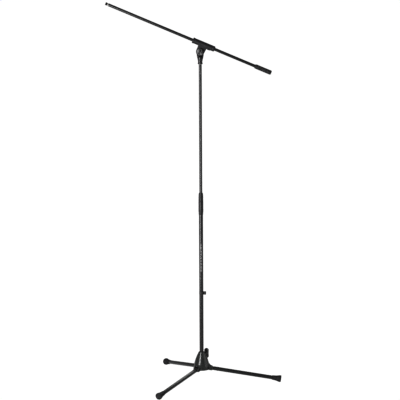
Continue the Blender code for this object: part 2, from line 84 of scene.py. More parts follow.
TILT = axes_frame(PIVOT, BOOM_LINE, BOOM_UP)
KNOB_LINE = Vector(JOINTS["base_knob_turn"]["axis"]).normalized()
KNOB_Z = JOINTS["base_knob_turn"]["pos_m"][2]
KNOB = axes_frame(POLE_FOOT + Vector((0, 0, KNOB_Z)), Vector((0, 0, -1)), KNOB_LINE)


def leg_frame(number):
    """Hinge frame of one leg: X along the leg, Y along the pin. The fold ends upright."""
    joint = JOINTS[f"leg_fold_{number}"]
    slope = math.radians(joint["range_deg"][1] - 90)
    pin = -Vector(joint["axis"]).normalized()
    outward = pin.cross(Vector((0, 0, 1))).normalized()
    along = outward * math.cos(slope) - Vector((0, 0, 1)) * math.sin(slope)
    return axes_frame(Vector(joint["pos_m"]), along, along.cross(pin))


LEGS = {number: leg_frame(number) for number in (1, 2, 3)}
ALONG_X = Matrix.Rotation(QUARTER, 4, "Y")
ALONG_Y = Matrix.Rotation(-QUARTER, 4, "X")
FLAT_XZ = Matrix.Rotation(QUARTER, 4, "X")


def span(node, matrix, axis):
    """Lowest and highest place of a CAD node along a local axis of a frame."""
    back = matrix.inverted()
    places = [(back @ vertex.co)[axis] for vertex in frame["nodes"][node].data.vertices]
    return min(places), max(places)


BOOM_AXIS = sum(span("boom_tube", TILT, 2)) / 2
BOOM = TILT @ Matrix.Translation((0, 0, BOOM_AXIS)) @ ALONG_X
LOWER_R = (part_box("lower_tube")[1].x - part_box("lower_tube")[0].x) / 2
UPPER_R = (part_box("upper_tube")[1].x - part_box("upper_tube")[0].x) / 2
LEG_LENGTH = span("foot_cap_1", LEGS[1], 0)[1]
LEG_R = LOWER_R - 0.5 * MM
PIN_R = 3 * MM
PIN_BORE = PIN_R + GAP


# Shapes -----------------------------------------------------------------------------------

def rounded(points, radius, closed=False, count=4):
    """The same outline with its sharp corners rounded."""
    result = []
    total = len(points)
    for i, point in enumerate(points):
        here = Vector(point)
        before = Vector(points[i - 1]) - here
        after = Vector(points[(i + 1) % total]) - here
        end = not closed and i in (0, total - 1)
        if end or math.pi - before.angle(after) < 0.3:
            result.append(tuple(here))
            continue
        cut = min(radius, before.length * 0.45, after.length * 0.45)
        start = here + before.normalized() * cut
        stop = here + after.normalized() * cut
        for k in range(count + 1):
            t = k / count
            result.append(tuple(start * (1 - t) ** 2 + here * 2 * t * (1 - t) + stop * t ** 2))
    return result


def lathe(profile, steps=64, closed=False, ripple=None):
    """A turned mesh about Z from (radius, height) points.

    ripple(angle, height) scales the radius.
    """
    shape = bmesh.new()
    rings = []
    for radius, height in profile:
        if radius < 1e-7:
            rings.append([shape.verts.new((0, 0, height))])
            continue
        ring = []
        for i in range(steps):
            angle = 2 * math.pi * i / steps
            r = radius * (ripple(angle, height) if ripple else 1)
            ring.append(shape.verts.new((r * math.cos(angle), r * math.sin(angle), height)))
        rings.append(ring)
    pairs = list(zip(rings, rings[1:]))
    if closed:
        pairs.append((rings[-1], rings[0]))
    for upper, lower in pairs:
        for i in range(steps):
            j = (i + 1) % steps
            corners = [upper[i % len(upper)], upper[j % len(upper)],
                       lower[j % len(lower)], lower[i % len(lower)]]
            unique = list(dict.fromkeys(corners))
            if len(unique) > 2:
                shape.faces.new(unique)
    bmesh.ops.recalc_face_normals(shape, faces=shape.faces)
    return to_mesh(shape)


def to_mesh(shape):
    """The finished mesh of a bmesh, which is freed."""
    mesh = bpy.data.meshes.new("fine")
    shape.to_mesh(mesh)
    shape.free()
    return mesh


def frozen(item):
    """The mesh of an object with its modifiers applied."""
    bpy.context.view_layer.update()
    final = item.evaluated_get(bpy.context.evaluated_depsgraph_get())
    return bpy.data.meshes.new_from_object(final)


def slab(outline, half, edge):
    """A flat outline in XY, thickened by half each way, its edges rounded."""
    curve = bpy.data.curves.new("slab", "CURVE")
    curve.dimensions = "2D"
    curve.fill_mode = "BOTH"
    curve.extrude = half - edge
    curve.bevel_depth = edge
    curve.bevel_resolution = 3
    curve.offset = -edge
    spline = curve.splines.new("POLY")
    spline.points.add(len(outline) - 1)
    for point, (x, y) in zip(spline.points, outline):
        point.co = (x, y, 0, 1)
    spline.use_cyclic_u = True
    guide = bpy.data.objects.new("slab", curve)
    bpy.context.scene.collection.objects.link(guide)
    mesh = frozen(guide)
    bpy.data.objects.remove(guide)
    shape = bmesh.new()
    shape.from_mesh(mesh)
    bmesh.ops.remove_doubles(shape, verts=shape.verts, dist=0.01 * MM)
    bmesh.ops.recalc_face_normals(shape, faces=shape.faces)
    return to_mesh(shape)


def block(size, centre):
    """A box of the given size about a centre."""
    shape = bmesh.new()
    bmesh.ops.create_cube(shape, size=1.0)
    bmesh.ops.scale(shape, vec=size, verts=shape.verts)
    bmesh.ops.translate(shape, vec=centre, verts=shape.verts)
    return to_mesh(shape)


def moved(mesh, matrix):
    """The same mesh, carried by a matrix."""
    mesh.transform(matrix)
    return mesh


def bar(radius, low, high, steps=48):
    """A plain rod along Z."""
    return lathe([(0, high), (radius, high), (radius, low), (0, low)], steps)


def drill(radius, reach=20 * MM):
    """A rod that cuts a hole right through."""
    return bar(radius, -reach, reach)


def tube(outer, inner, low, high, edge, steps):
    """A straight tube along Z with its edges rounded."""
    walls = [(outer, high), (outer, low), (inner, low), (inner, high)]
    return lathe(rounded(walls, edge, True), steps, True)


def arc(cx, cy, radius, start, end, count):
    """Points on a circle, from start to end in degrees."""
    turns = [math.radians(start + (end - start) * i / (count - 1)) for i in range(count)]
    return [(cx + radius * math.cos(t), cy + radius * math.sin(t)) for t in turns]


def carved(adds, cuts, voxel=0, passes=0):
    """Shapes joined and others cut away; with a voxel size, soft-edged like a casting."""
    holders = []
    for mesh in adds + cuts:
        holder = bpy.data.objects.new("carve", mesh)
        bpy.context.scene.collection.objects.link(holder)
        holders.append(holder)
    main = holders[0]
    for i, other in enumerate(holders[1:], 1):
        step = main.modifiers.new("step", "BOOLEAN")
        step.solver = "MANIFOLD"
        step.operation = "UNION" if i < len(adds) else "DIFFERENCE"
        step.object = other
    if voxel:
        remesh = main.modifiers.new("skin", "REMESH")
        remesh.mode = "VOXEL"
        remesh.voxel_size = voxel
        soften = main.modifiers.new("soften", "SMOOTH")
        soften.factor = 0.5
        soften.iterations = passes
    mesh = frozen(main)
    for holder in holders:
        bpy.data.objects.remove(holder)
    return mesh


def show(node, mesh, matrix, material, sharp=40):
    """Puts a fine mesh in place of its CAD node."""
    mesh.materials.clear()
    mesh.materials.append(material)
    mesh.shade_smooth()
    mesh.set_sharp_from_angle(angle=math.radians(sharp))
    item = bpy.data.objects.new(f"{node}_fine", mesh)
    bpy.context.scene.collection.objects.link(item)
    item.matrix_world = matrix
    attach(item, BODY_OF[node])
    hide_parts(node)
    return item


# Materials --------------------------------------------------------------------------------

class Nodes:
    """Short way to wire a procedural Principled material."""

    def __init__(self, name):
        self.material = bpy.data.materials.new(name)
        self.material.use_nodes = True
        self.tree = self.material.node_tree
        self.shader = self.tree.nodes["Principled BSDF"]
        self.place = self.tree.nodes.new("ShaderNodeTexCoord").outputs["Object"]

    def add(self, kind, **values):
        node = self.tree.nodes.new(kind)
        for key, value in values.items():
            setattr(node, key, value)
        return node

    def link(self, source, target):
        self.tree.links.new(source, target)

    def stretched(self, scale):
        node = self.add("ShaderNodeMapping")
        node.inputs["Scale"].default_value = scale
        self.link(self.place, node.inputs["Vector"])
        return node.outputs["Vector"]

    def noise(self, scale, detail=4.0, stretch=(1, 1, 1)):
        node = self.add("ShaderNodeTexNoise")
        node.inputs["Scale"].default_value = scale
        node.inputs["Detail"].default_value = detail
        self.link(self.stretched(stretch), node.inputs["Vector"])
        return node.outputs["Fac"]

    def ramp(self, fac, low, high, start=0.35, stop=0.65):
        node = self.add("ShaderNodeValToRGB")
        node.color_ramp.elements[0].position = start
        node.color_ramp.elements[1].position = stop
        node.color_ramp.elements[0].color = (*low, 1)
        node.color_ramp.elements[1].color = (*high, 1)
        self.link(fac, node.inputs["Fac"])
        return node.outputs["Color"]

    def remap(self, fac, low, high, start=0.3, stop=0.7):
        node = self.add("ShaderNodeMapRange")
        node.inputs["From Min"].default_value = start
        node.inputs["From Max"].default_value = stop
        node.inputs["To Min"].default_value = low
        node.inputs["To Max"].default_value = high
        self.link(fac, node.inputs["Value"])
        return node.outputs["Result"]

    def math(self, operation, first, second):
        node = self.add("ShaderNodeMath", operation=operation)
        for socket, value in zip(node.inputs, (first, second)):
            if isinstance(value, (int, float)):
                socket.default_value = value
            else:
                self.link(value, socket)
        return node.outputs["Value"]

    def mix(self, fac, first, second):
        node = self.add("ShaderNodeMix", data_type="RGBA")
        self.link(fac, node.inputs[0])
        for socket, value in ((node.inputs[6], first), (node.inputs[7], second)):
            if isinstance(value, tuple):
                socket.default_value = (*value, 1)
            else:
                self.link(value, socket)
        return node.outputs[2]

    def edges(self, low=0.50, high=0.58):
        """Where the surface turns a sharp outside corner, from 0 to 1."""
        corners = self.add("ShaderNodeNewGeometry").outputs["Pointiness"]
        return self.remap(corners, 0, 1, low, high)

    def bump(self, height, strength, distance):
        node = self.add("ShaderNodeBump")
        node.inputs["Strength"].default_value = strength
        node.inputs["Distance"].default_value = distance
        self.link(height, node.inputs["Height"])
        self.link(node.outputs["Normal"], self.shader.inputs["Normal"])

    def set(self, **values):
        for key, value in values.items():
            self.shader.inputs[key.replace("_", " ")].default_value = value


# Lighter edge tone of the enamel: partly wear, partly a painted highlight.
ENAMEL_WEAR_AND_SHEEN = (0.085, 0.086, 0.088)
# Lighter edge tone of the plastics: partly wear, partly a painted highlight.
PLASTIC_WEAR_AND_SHEEN = (0.07, 0.07, 0.072)
PRINT_TONE = (0.30, 0.30, 0.30)


def enamel(name, tone, rough, coat, grain=900, pits=0.25):
    """Glossy black enamel or powder coat with fine orange peel, lighter at its edges from wear and a painted
    highlight.
    """
    n = Nodes(name)
    cloud = n.noise(38, 5)
    dark = tuple(c * 0.80 for c in tone)
    light = tuple(c * 1.25 for c in tone)
    base = n.ramp(cloud, dark, light)
    # Lighter at sharp edges: partly wear, partly a painted highlight.
    wear_and_sheen = n.math("MULTIPLY", n.edges(), n.remap(n.noise(240, 3), 0, 0.55, 0.45, 0.7))
    n.link(n.mix(wear_and_sheen, base, ENAMEL_WEAR_AND_SHEEN), n.shader.inputs["Base Color"])
    n.link(n.remap(n.noise(150, 5), rough - 0.06, rough + 0.07), n.shader.inputs["Roughness"])
    n.bump(n.noise(grain, 2), pits, 0.06 * MM)
    n.set(Coat_Weight=coat, Coat_Roughness=0.16)
    return n.material


def tube_enamel(name, tone, rough, marks=None):
    """Powder-coated tube with faint drawing lines along it and, if asked, plain printed bars."""
    n = Nodes(name)
    dark = tuple(c * 0.85 for c in tone)
    light = tuple(c * 1.2 for c in tone)
    lines = n.noise(420, 3, (1, 1, 0.02))
    base = n.ramp(lines, dark, light)
    if marks:
        base = n.mix(printed_bars(n, marks), base, PRINT_TONE)
    n.link(base, n.shader.inputs["Base Color"])
    n.link(n.remap(n.noise(90, 5), rough - 0.05, rough + 0.06), n.shader.inputs["Roughness"])
    n.bump(n.noise(1100, 2), 0.18, 0.05 * MM)
    n.set(Coat_Weight=0.2, Coat_Roughness=0.2)
    return n.material


def printed_bars(n, marks):
    """Mask of plain upright bars printed on the side that faces local -Y."""
    low, high, half_width, blocks = marks
    filled = 0.74
    split = n.add("ShaderNodeSeparateXYZ")
    n.link(n.place, split.inputs["Vector"])
    x, y, z = split.outputs
    inside = n.math("LESS_THAN", n.math("ABSOLUTE", x, 0), half_width)
    front = n.math("LESS_THAN", y, 0)
    above = n.math("GREATER_THAN", z, low)
    below = n.math("LESS_THAN", z, high)
    place = n.math("MULTIPLY", n.math("SUBTRACT", z, low), blocks / (high - low))
    bars = n.math("LESS_THAN", n.math("FRACT", place, 0), filled)
    mask = bars
    for part in (inside, front, above, below):
        mask = n.math("MULTIPLY", mask, part)
    return n.math("MULTIPLY", mask, n.remap(n.noise(700, 4), 0.55, 1.0))


def plastic(name, tone, rough, texture=1500, depth=0.05):
    """Moulded black plastic with a fine spark-eroded grain, lighter at its edges from wear and a painted
    highlight.
    """
    n = Nodes(name)
    dark = tuple(c * 0.85 for c in tone)
    light = tuple(c * 1.2 for c in tone)
    base = n.ramp(n.noise(70, 4), dark, light)
    # Lighter at sharp edges: partly wear, partly a painted highlight.
    shine = n.math("MULTIPLY", n.edges(0.51, 0.60), 0.5)
    n.link(n.mix(shine, base, PLASTIC_WEAR_AND_SHEEN), n.shader.inputs["Base Color"])
    n.link(n.remap(n.noise(260, 4), rough - 0.05, rough + 0.08), n.shader.inputs["Roughness"])
    n.bump(n.noise(texture, 3), 0.35, depth * MM)
    n.set(Specular_IOR_Level=0.5)
    return n.material


def rubber(name, tone):
    """Dull moulded rubber with a dusty bloom in random patches."""
    n = Nodes(name)
    dust = n.remap(n.noise(120, 6), 0, 1, 0.42, 0.68)
    n.link(n.mix(dust, tone, tuple(c * 1.9 for c in tone)), n.shader.inputs["Base Color"])
    n.link(n.remap(n.noise(300, 4), 0.66, 0.86), n.shader.inputs["Roughness"])
    n.bump(n.noise(1700, 3), 0.5, 0.08 * MM)
    n.set(Specular_IOR_Level=0.35)
    return n.material


def steel(name, tone, rough):
    """Turned steel: fine rings round the axis and a little tarnish."""
    n = Nodes(name)
    lines = n.noise(3000, 3, (0.05, 0.05, 1))
    dull = tuple(c * 0.8 for c in tone)
    n.link(n.ramp(n.noise(90, 5), dull, tone), n.shader.inputs["Base Color"])
    n.link(n.remap(lines, rough - 0.06, rough + 0.10), n.shader.inputs["Roughness"])
    n.bump(lines, 0.25, 0.02 * MM)
    n.set(Metallic=1.0)
    return n.material


# Where the pale bars lie on the lower tube: from, to, half width in metres, and how many.
PRINTED = (0.545, 0.685, 0.0017, 9)

CASTING_BLACK = enamel("casting_black", (0.026, 0.028, 0.0272), 0.27, 0.2, pits=0.05)
LEG_BLACK = tube_enamel("leg_black", (0.017, 0.018, 0.018), 0.26)
LOWER_BLACK = tube_enamel("lower_tube_black", (0.022, 0.022, 0.023), 0.30, PRINTED)
UPPER_BLACK = tube_enamel("upper_tube_black", (0.030, 0.030, 0.031), 0.34)
BOOM_BLACK = tube_enamel("boom_black", (0.012, 0.012, 0.013), 0.36)
SWIVEL_BLACK = enamel("swivel_black", (0.016, 0.016, 0.017), 0.34, 0.2)
SLEEVE_BLACK = plastic("sleeve_black", (0.018, 0.018, 0.020), 0.46)
KNOB_BLACK = plastic("knob_black", (0.026, 0.026, 0.027), 0.36, texture=1100, depth=0.04)
# A lighter copy of the knob plastic: painted light, making up for the bell's shadow on the base knob.
BASE_KNOB_PAINTED_LIT = plastic("base_knob_painted_lit", (0.070, 0.071, 0.071), 0.40, texture=1100,
                          depth=0.04)
CLUTCH_BLACK = plastic("clutch_black", (0.020, 0.020, 0.021), 0.42)
CLIP_BLACK = plastic("clip_black", (0.028, 0.028, 0.029), 0.50)
INNER_BLACK = plastic("inner_black", (0.040, 0.040, 0.041), 0.55)
FOOT_RUBBER = rubber("foot_rubber", (0.022, 0.022, 0.023))
GRIP_RUBBER = rubber("grip_rubber", (0.026, 0.026, 0.027))
BRIGHT_STEEL = steel("bright_steel", (0.74, 0.74, 0.72), 0.22)
PLAIN_STEEL = steel("plain_steel", (0.20, 0.20, 0.198), 0.38)
DARK_STEEL = steel("dark_steel", (0.07, 0.07, 0.07), 0.36)


# Base ---------------------------------------------------------------------------------------

def make_casting():
    """Bell with three slotted arms for the legs and a boss for the clamp knob."""
    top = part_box("base_casting")[1].z
    bell_low = 0.0625
    socket_low = 0.084
    arm_top = 0.0885
    arm_r = 9.8 * MM
    arm_half = 14 * MM
    bell = rounded([
        (0, top), (12.8 * MM, top), (14.0 * MM, top - 1.3 * MM), (17.5 * MM, 0.1400),
        (20.8 * MM, 0.1334), (23.8 * MM, 0.1268), (27.0 * MM, 0.1193), (29.8 * MM, 0.1117),
        (32.3 * MM, 0.1038), (34.5 * MM, 0.0957), (36.6 * MM, 0.0872), (38.4 * MM, 0.0787),
        (39.7 * MM, 0.0703), (39.9 * MM, 0.0662), (38.7 * MM, bell_low), (0, bell_low),
    ], 1.5 * MM)
    adds = [lathe(bell, 128)]
    cuts = []
    socket = bar(LOWER_R + GAP, socket_low, 0.2, 96)
    slot_start = 36.3 * MM
    slot_length = 80 * MM
    slot_half = 9.4 * MM
    for place in LEGS.values():
        local = POLE.inverted() @ place
        pin = local.translation
        pin_r = math.hypot(pin.x, pin.y)
        arm = [(8 * MM, bell_low - 0.6 * MM), (30 * MM, bell_low - 1.3 * MM)]
        arm += arc(pin_r, pin.z, arm_r, -80, 80, 25)
        arm += [
            (44.5 * MM, 0.0788), (41.8 * MM, 0.0812), (39.4 * MM, 0.0845), (37.2 * MM, arm_top),
            (8 * MM, arm_top),
        ]
        turn = Matrix.Rotation(math.atan2(pin.y, pin.x), 4, "Z")
        side = slab(rounded(arm, 3 * MM, True), arm_half, 2.2 * MM)
        adds.append(moved(side, turn @ FLAT_XZ))
        middle = (slot_start + slot_length / 2, 0, 0.1)
        cuts.append(moved(block((slot_length, 2 * slot_half, 0.12), middle), turn))
        cuts.append(moved(drill(PIN_BORE, 30 * MM), local @ FLAT_XZ))
    local_knob = POLE.inverted() @ KNOB
    adds.append(moved(bar(8.5 * MM, 4 * MM, 27 * MM, 64), local_knob))
    cuts.append(socket)
    cuts.append(moved(bar(4.3 * MM, 5 * MM, 50 * MM), local_knob))
    mesh = carved(adds, cuts, voxel=0.8 * MM, passes=9)
    show("base_casting", mesh, POLE, CASTING_BLACK, sharp=60)


def make_base_clamp():
    """Clamp screw and its knob of two round lobes, dished on the side towards the pole."""
    stud_low, stud_high = span("base_clamp_screw", KNOB, 2)
    threads = threaded(3.9 * MM, THREAD_DEPTH, 1.25 * MM, stud_low, stud_high)
    show("base_clamp_screw", lathe(threads, 48), KNOB, PLAIN_STEEL, sharp=30)
    hub_end = span("base_wing_knob", KNOB, 2)[1]
    start = 31 * MM
    hollow = stud_high + GAP
    hub = rounded([
        (0, hub_end), (6.2 * MM, hub_end), (7.8 * MM, hub_end - 1.6 * MM), (8.5 * MM, start),
        (0, start),
    ], 1.2 * MM)
    lobe = [(3.0 * MM, 10.0 * MM)] + arc(13.7 * MM, 0, 10.8 * MM, 80, -80, 25)
    lobe += [(3.0 * MM, -10.0 * MM)]
    outline = [(-x, -y) for x, y in lobe] + lobe
    middle = 44.8 * MM
    half = 4.8 * MM
    wings = moved(slab(outline, half, 1.6 * MM), Matrix.Translation((0, 0, middle)))
    cuts = [bar(4.2 * MM, 20 * MM, hollow)]
    dish_r = 5.0 * MM
    dish_depth = 4.6 * MM
    dish_x = 15.4 * MM
    for side in (1, -1):
        dish = bar(dish_r, -6 * MM, dish_depth)
        cuts.append(moved(dish, Matrix.Translation((side * dish_x, 0, middle - half))))
    mesh = carved([lathe(hub, 72), wings], cuts, voxel=0.5 * MM, passes=6)
    show("base_wing_knob", mesh, KNOB, BASE_KNOB_PAINTED_LIT, sharp=60)


def threaded(radius, depth, pitch, low, high):
    """Profile of a rod with fine ridges, top to bottom."""
    points = [(0, high), (radius - depth, high)]
    count = int((high - low) / pitch)
    for i in range(count):
        z = high - pitch * (i + 0.5)
        points += [(radius, z + 0.15 * pitch), (radius - depth, z - 0.30 * pitch)]
    points += [(radius - depth, low), (0, low)]
    return points


# Legs ---------------------------------------------------------------------------------------

def make_leg(number):
    """Leg tube, hinge pin, knuckle and rivet of one leg."""
    place = LEGS[number]
    start, end = span(f"leg_tube_{number}", place, 0)
    inner = LEG_R - LOWER_WALL
    walls = tube(LEG_R, inner, start, end, 0.5 * MM, 64)
    show(f"leg_tube_{number}", walls, place @ ALONG_X, LEG_BLACK)

    pin_half = span(f"leg_pivot_pin_{number}", place, 1)[1]
    pin = [(0, pin_half), (PIN_R, pin_half), (PIN_R, -pin_half), (0, -pin_half)]
    pin_mesh = lathe(rounded(pin, 0.5 * MM), 40)
    show(f"leg_pivot_pin_{number}", pin_mesh, place @ FLAT_XZ, DARK_STEEL)

    rivet_spot = Matrix.Translation((sum(span(f"leg_rivet_{number}", place, 0)) / 2, 0, 0))
    knuckle = arc(0, 0, 8.5 * MM, 90, 270, 25)
    knuckle += [(11.5 * MM, -7.2 * MM), (11.5 * MM, 7.2 * MM)]
    adds = [
        moved(slab(knuckle, 8.2 * MM, 1.2 * MM), FLAT_XZ),
        moved(bar(inner - GAP, 6 * MM, 38 * MM), ALONG_X),
    ]
    rivet_bore = 1.9 * MM
    cuts = [moved(drill(PIN_BORE), FLAT_XZ), moved(drill(rivet_bore), rivet_spot)]
    mesh = carved(adds, cuts, voxel=0.6 * MM, passes=5)
    show(f"leg_knuckle_{number}", mesh, place, CASTING_BLACK, sharp=60)

    top = LEG_R + GAP
    dome = [(0, top + 0.9 * MM), (1.0 * MM, top + 0.8 * MM), (1.9 * MM, top + 0.45 * MM),
            (2.6 * MM, top), (1.6 * MM, top)]
    rivet = dome + [(r, -z) for r, z in dome[::-1]]
    show(f"leg_rivet_{number}", lathe(rivet, 36), place @ rivet_spot, DARK_STEEL)


def make_foot(number):
    """Bell-shaped rubber foot with three ribs, cut flat where it stands on the floor."""
    place = LEGS[number]
    start = span(f"foot_cap_{number}", place, 0)[0]
    end = LEG_LENGTH
    bore = LEG_R + GAP
    bottom = end - 5.5 * MM
    rib = 0.35 * MM
    ribs = []
    for i in range(3):
        z = start + (4.5 - 1.5 * i) * MM
        r = 10.75 * MM + (2 - i) * 0.06 * MM
        ribs += [(r, z), (r - rib, z - 0.4 * MM), (r - rib, z - 0.8 * MM)]
    profile = [
        (0, end - 0.5 * MM), (9.0 * MM, end - 0.5 * MM), (9.6 * MM, end), (14.8 * MM, end),
        (16.0 * MM, end - 1.2 * MM), (16.0 * MM, end - 7.5 * MM), (15.5 * MM, end - 9.6 * MM),
        (14.7 * MM, end - 12.6 * MM), (13.5 * MM, end - 17.4 * MM), (12.4 * MM, end - 23 * MM),
        (11.6 * MM, end - 28.5 * MM), (11.1 * MM, end - 34 * MM),
    ] + ribs + [
        (10.6 * MM, start), (bore, start), (bore, bottom), (0, bottom),
    ]
    mesh = moved(lathe(rounded(profile, 0.5 * MM, count=3), 96), ALONG_X)
    ground = block((0.3, 0.3, 0.1), (0.3, 0, -0.05))
    floor = moved(ground, place.inverted() @ leg_ground(number))
    mesh = moved(carved([mesh], [floor]), place)
    show(f"foot_cap_{number}", mesh, Matrix.Identity(4), FOOT_RUBBER, sharp=35)


def leg_ground(number):
    """A level frame on the floor under a leg's hinge, its X towards the foot."""
    place = LEGS[number]
    out = place.col[0].to_3d()
    turn = Matrix.Rotation(math.atan2(out.y, out.x), 4, "Z")
    return Matrix.Translation((place.translation.x, place.translation.y, 0)) @ turn


# Pole ---------------------------------------------------------------------------------------

def make_pole():
    """The two tubes of the pole."""
    for node, radius, wall, steps, material in (
            ("lower_tube", LOWER_R, LOWER_WALL, 96, LOWER_BLACK),
            ("upper_tube", UPPER_R, UPPER_WALL, 72, UPPER_BLACK)):
        low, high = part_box(node)
        mesh = tube(radius, radius - wall, low.z, high.z, 0.4 * MM, steps)
        show(node, mesh, POLE, material)


def make_clutch():
    """Clutch body on the lower tube and the fluted grip that twists above it."""
    low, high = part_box("clutch_body")
    inner = LOWER_R + GAP
    z = low.z
    body = rounded([
        (11.2 * MM, high.z), (11.2 * MM, high.z - 3.0 * MM), (10.8 * MM, high.z - 3.5 * MM),
        (10.8 * MM, high.z - 4.3 * MM), (11.2 * MM, high.z - 4.8 * MM), (11.2 * MM, z + 32 * MM),
        (11.4 * MM, z + 25 * MM), (11.4 * MM, z + 19 * MM), (11.0 * MM, z + 13.5 * MM),
        (10.6 * MM, z + 7 * MM), (10.3 * MM, z + 0.6 * MM), (10.1 * MM, z), (inner, z),
        (inner, high.z),
    ], 0.5 * MM, True)
    show("clutch_body", lathe(body, 96, True), POLE, CLUTCH_BLACK)
    low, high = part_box("clutch_grip")
    z = high.z
    neck = UPPER_R + 2 * GAP
    grip = [
        (neck, z), (8.0 * MM, z), (8.6 * MM, z - 0.5 * MM), (9.0 * MM, z - 1.8 * MM),
        (9.6 * MM, z - 4.2 * MM), (10.1 * MM, z - 7.0 * MM), (10.6 * MM, z - 12.5 * MM),
        (10.8 * MM, z - 18.5 * MM), (10.9 * MM, z - 26 * MM), (10.9 * MM, low.z + 0.4 * MM),
        (10.6 * MM, low.z), (inner, low.z), (inner, z - 6.5 * MM), (neck, z - 4.5 * MM),
    ]
    low_flute = low.z + 4 * MM
    high_flute = z - 6 * MM

    def flutes(angle, height):
        inside = min(1.0, max(0.0, min(height - low_flute, high_flute - height) / (3 * MM)))
        return 1 - 0.022 * inside * max(0.0, math.sin(18 * angle)) ** 2

    fine = []
    for (r0, z0), (r1, z1) in zip(grip, grip[1:] + grip[:1]):
        outside = min(r0, r1) > inner - GAP and abs(z1 - z0) > 2 * MM and r0 > inner
        pieces = max(1, int(abs(z1 - z0) / (1.5 * MM))) if outside else 1
        for k in range(pieces):
            fine.append((r0 + (r1 - r0) * k / pieces, z0 + (z1 - z0) * k / pieces))
    show("clutch_grip", lathe(fine, 216, True, flutes), POLE, CLUTCH_BLACK, sharp=50)


def make_clip():
    """Open ring on the lower tube with a hook for the cable."""
    low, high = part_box("cable_clip")
    centre = (low.z + high.z) / 2
    half = (high.z - low.z) / 2
    outer = LOWER_R + 1.8 * MM
    inner = LOWER_R + GAP
    hook_x = 18.2 * MM
    cable_r = 3.4 * MM
    hook_r = cable_r + 1.7 * MM
    outline = arc(0, 0, outer, 150, 14, 30)
    outline += arc(hook_x, 0, hook_r, 148, 30, 20)
    outline += arc(hook_x, 0, cable_r, 42, 318, 36)
    outline += arc(hook_x, 0, hook_r, 330, 212, 20)
    outline += arc(0, 0, outer, -14, -150, 30)
    outline += arc(0, 0, inner, -150, 150, 60)
    mesh = slab(outline, half, 0.5 * MM)
    show("cable_clip", mesh, POLE @ Matrix.Translation((0, 0, centre)), CLIP_BLACK)


def make_pole_stud():
    """Threaded stud on the pole's top that the swivel screws onto."""
    low, high = span("pole_stud", POLE, 2)
    flange_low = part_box("upper_tube")[1].z + GAP
    flange_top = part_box("swivel_socket")[0].z - GAP
    flange_r = 6.4 * MM
    plug = UPPER_R - UPPER_WALL - GAP
    ridges = threaded(THREAD_R, THREAD_DEPTH, 1.0 * MM, flange_top, high)[:-2]
    profile = ridges + rounded([
        (4.2 * MM, flange_top), (flange_r, flange_top), (flange_r, flange_low),
        (plug, flange_low), (plug, low), (0, low),
    ], 0.5 * MM)[1:]
    show("pole_stud", lathe(profile, 64), POLE, PLAIN_STEEL, sharp=30)


# Swivel -------------------------------------------------------------------------------------

def make_socket():
    """Turned neck with a flat round ear for the tilt bolt."""
    place = Matrix.Translation(PIVOT)
    bore = 4.9 * MM
    bore_top = -43.5 * MM
    neck = rounded([
        (0, -20.5 * MM), (8.5 * MM, -20.8 * MM), (11.5 * MM, -24.5 * MM), (12.8 * MM, -29.5 * MM),
        (12.6 * MM, -33.5 * MM), (11.7 * MM, -38.5 * MM), (10.8 * MM, -43.0 * MM),
        (10.2 * MM, -47.5 * MM), (10.1 * MM, -52.5 * MM), (11.2 * MM, -53.5 * MM),
        (11.2 * MM, -59 * MM), (bore, -59 * MM), (bore, bore_top), (0, bore_top),
    ], 1.0 * MM)
    flank = [
        (16.0 * MM, -18.0 * MM), (15.0 * MM, -23.5 * MM), (13.9 * MM, -29.0 * MM),
        (12.4 * MM, -34.5 * MM), (10.0 * MM, -39.0 * MM),
    ]
    ear = arc(0, 0, 18.2 * MM, -25, 205, 49) + [(-x, z) for x, z in flank] + flank[::-1]
    adds = [lathe(neck, 96), moved(slab(ear, 4.6 * MM, 1.0 * MM), FLAT_XZ)]
    cuts = [moved(drill(PIN_BORE), FLAT_XZ), bar(bore, -70 * MM, bore_top)]
    mesh = carved(adds, cuts, voxel=0.5 * MM, passes=9)
    show("swivel_socket", mesh, place, SWIVEL_BLACK, sharp=60)


def make_tilt_hardware():
    """Tilt bolt with its domed head, and the two friction washers."""
    place = TILT @ ALONG_Y
    low, high = span("tilt_bolt", TILT, 1)
    head = 11.1 * MM
    bolt = [
        (0, high), (2.4 * MM, high), (PIN_R, high - 0.6 * MM), (PIN_R, -head),
        (7.5 * MM, -head), (7.5 * MM, -head - 2.4 * MM), (6.9 * MM, -head - 3.7 * MM),
        (5.4 * MM, -head - 4.7 * MM), (2.6 * MM, low), (2.3 * MM, low + 1.6 * MM),
        (0, low + 1.6 * MM),
    ]
    show("tilt_bolt", lathe(rounded(bolt, 0.4 * MM), 64), place, PLAIN_STEEL)
    washer_r = 15 * MM
    for label in ("front", "rear"):
        near, far = span(f"friction_washer_{label}", TILT, 1)
        ring = tube(washer_r, PIN_BORE, near, far, 0.25 * MM, 72)
        show(f"friction_washer_{label}", ring, place, INNER_BLACK)


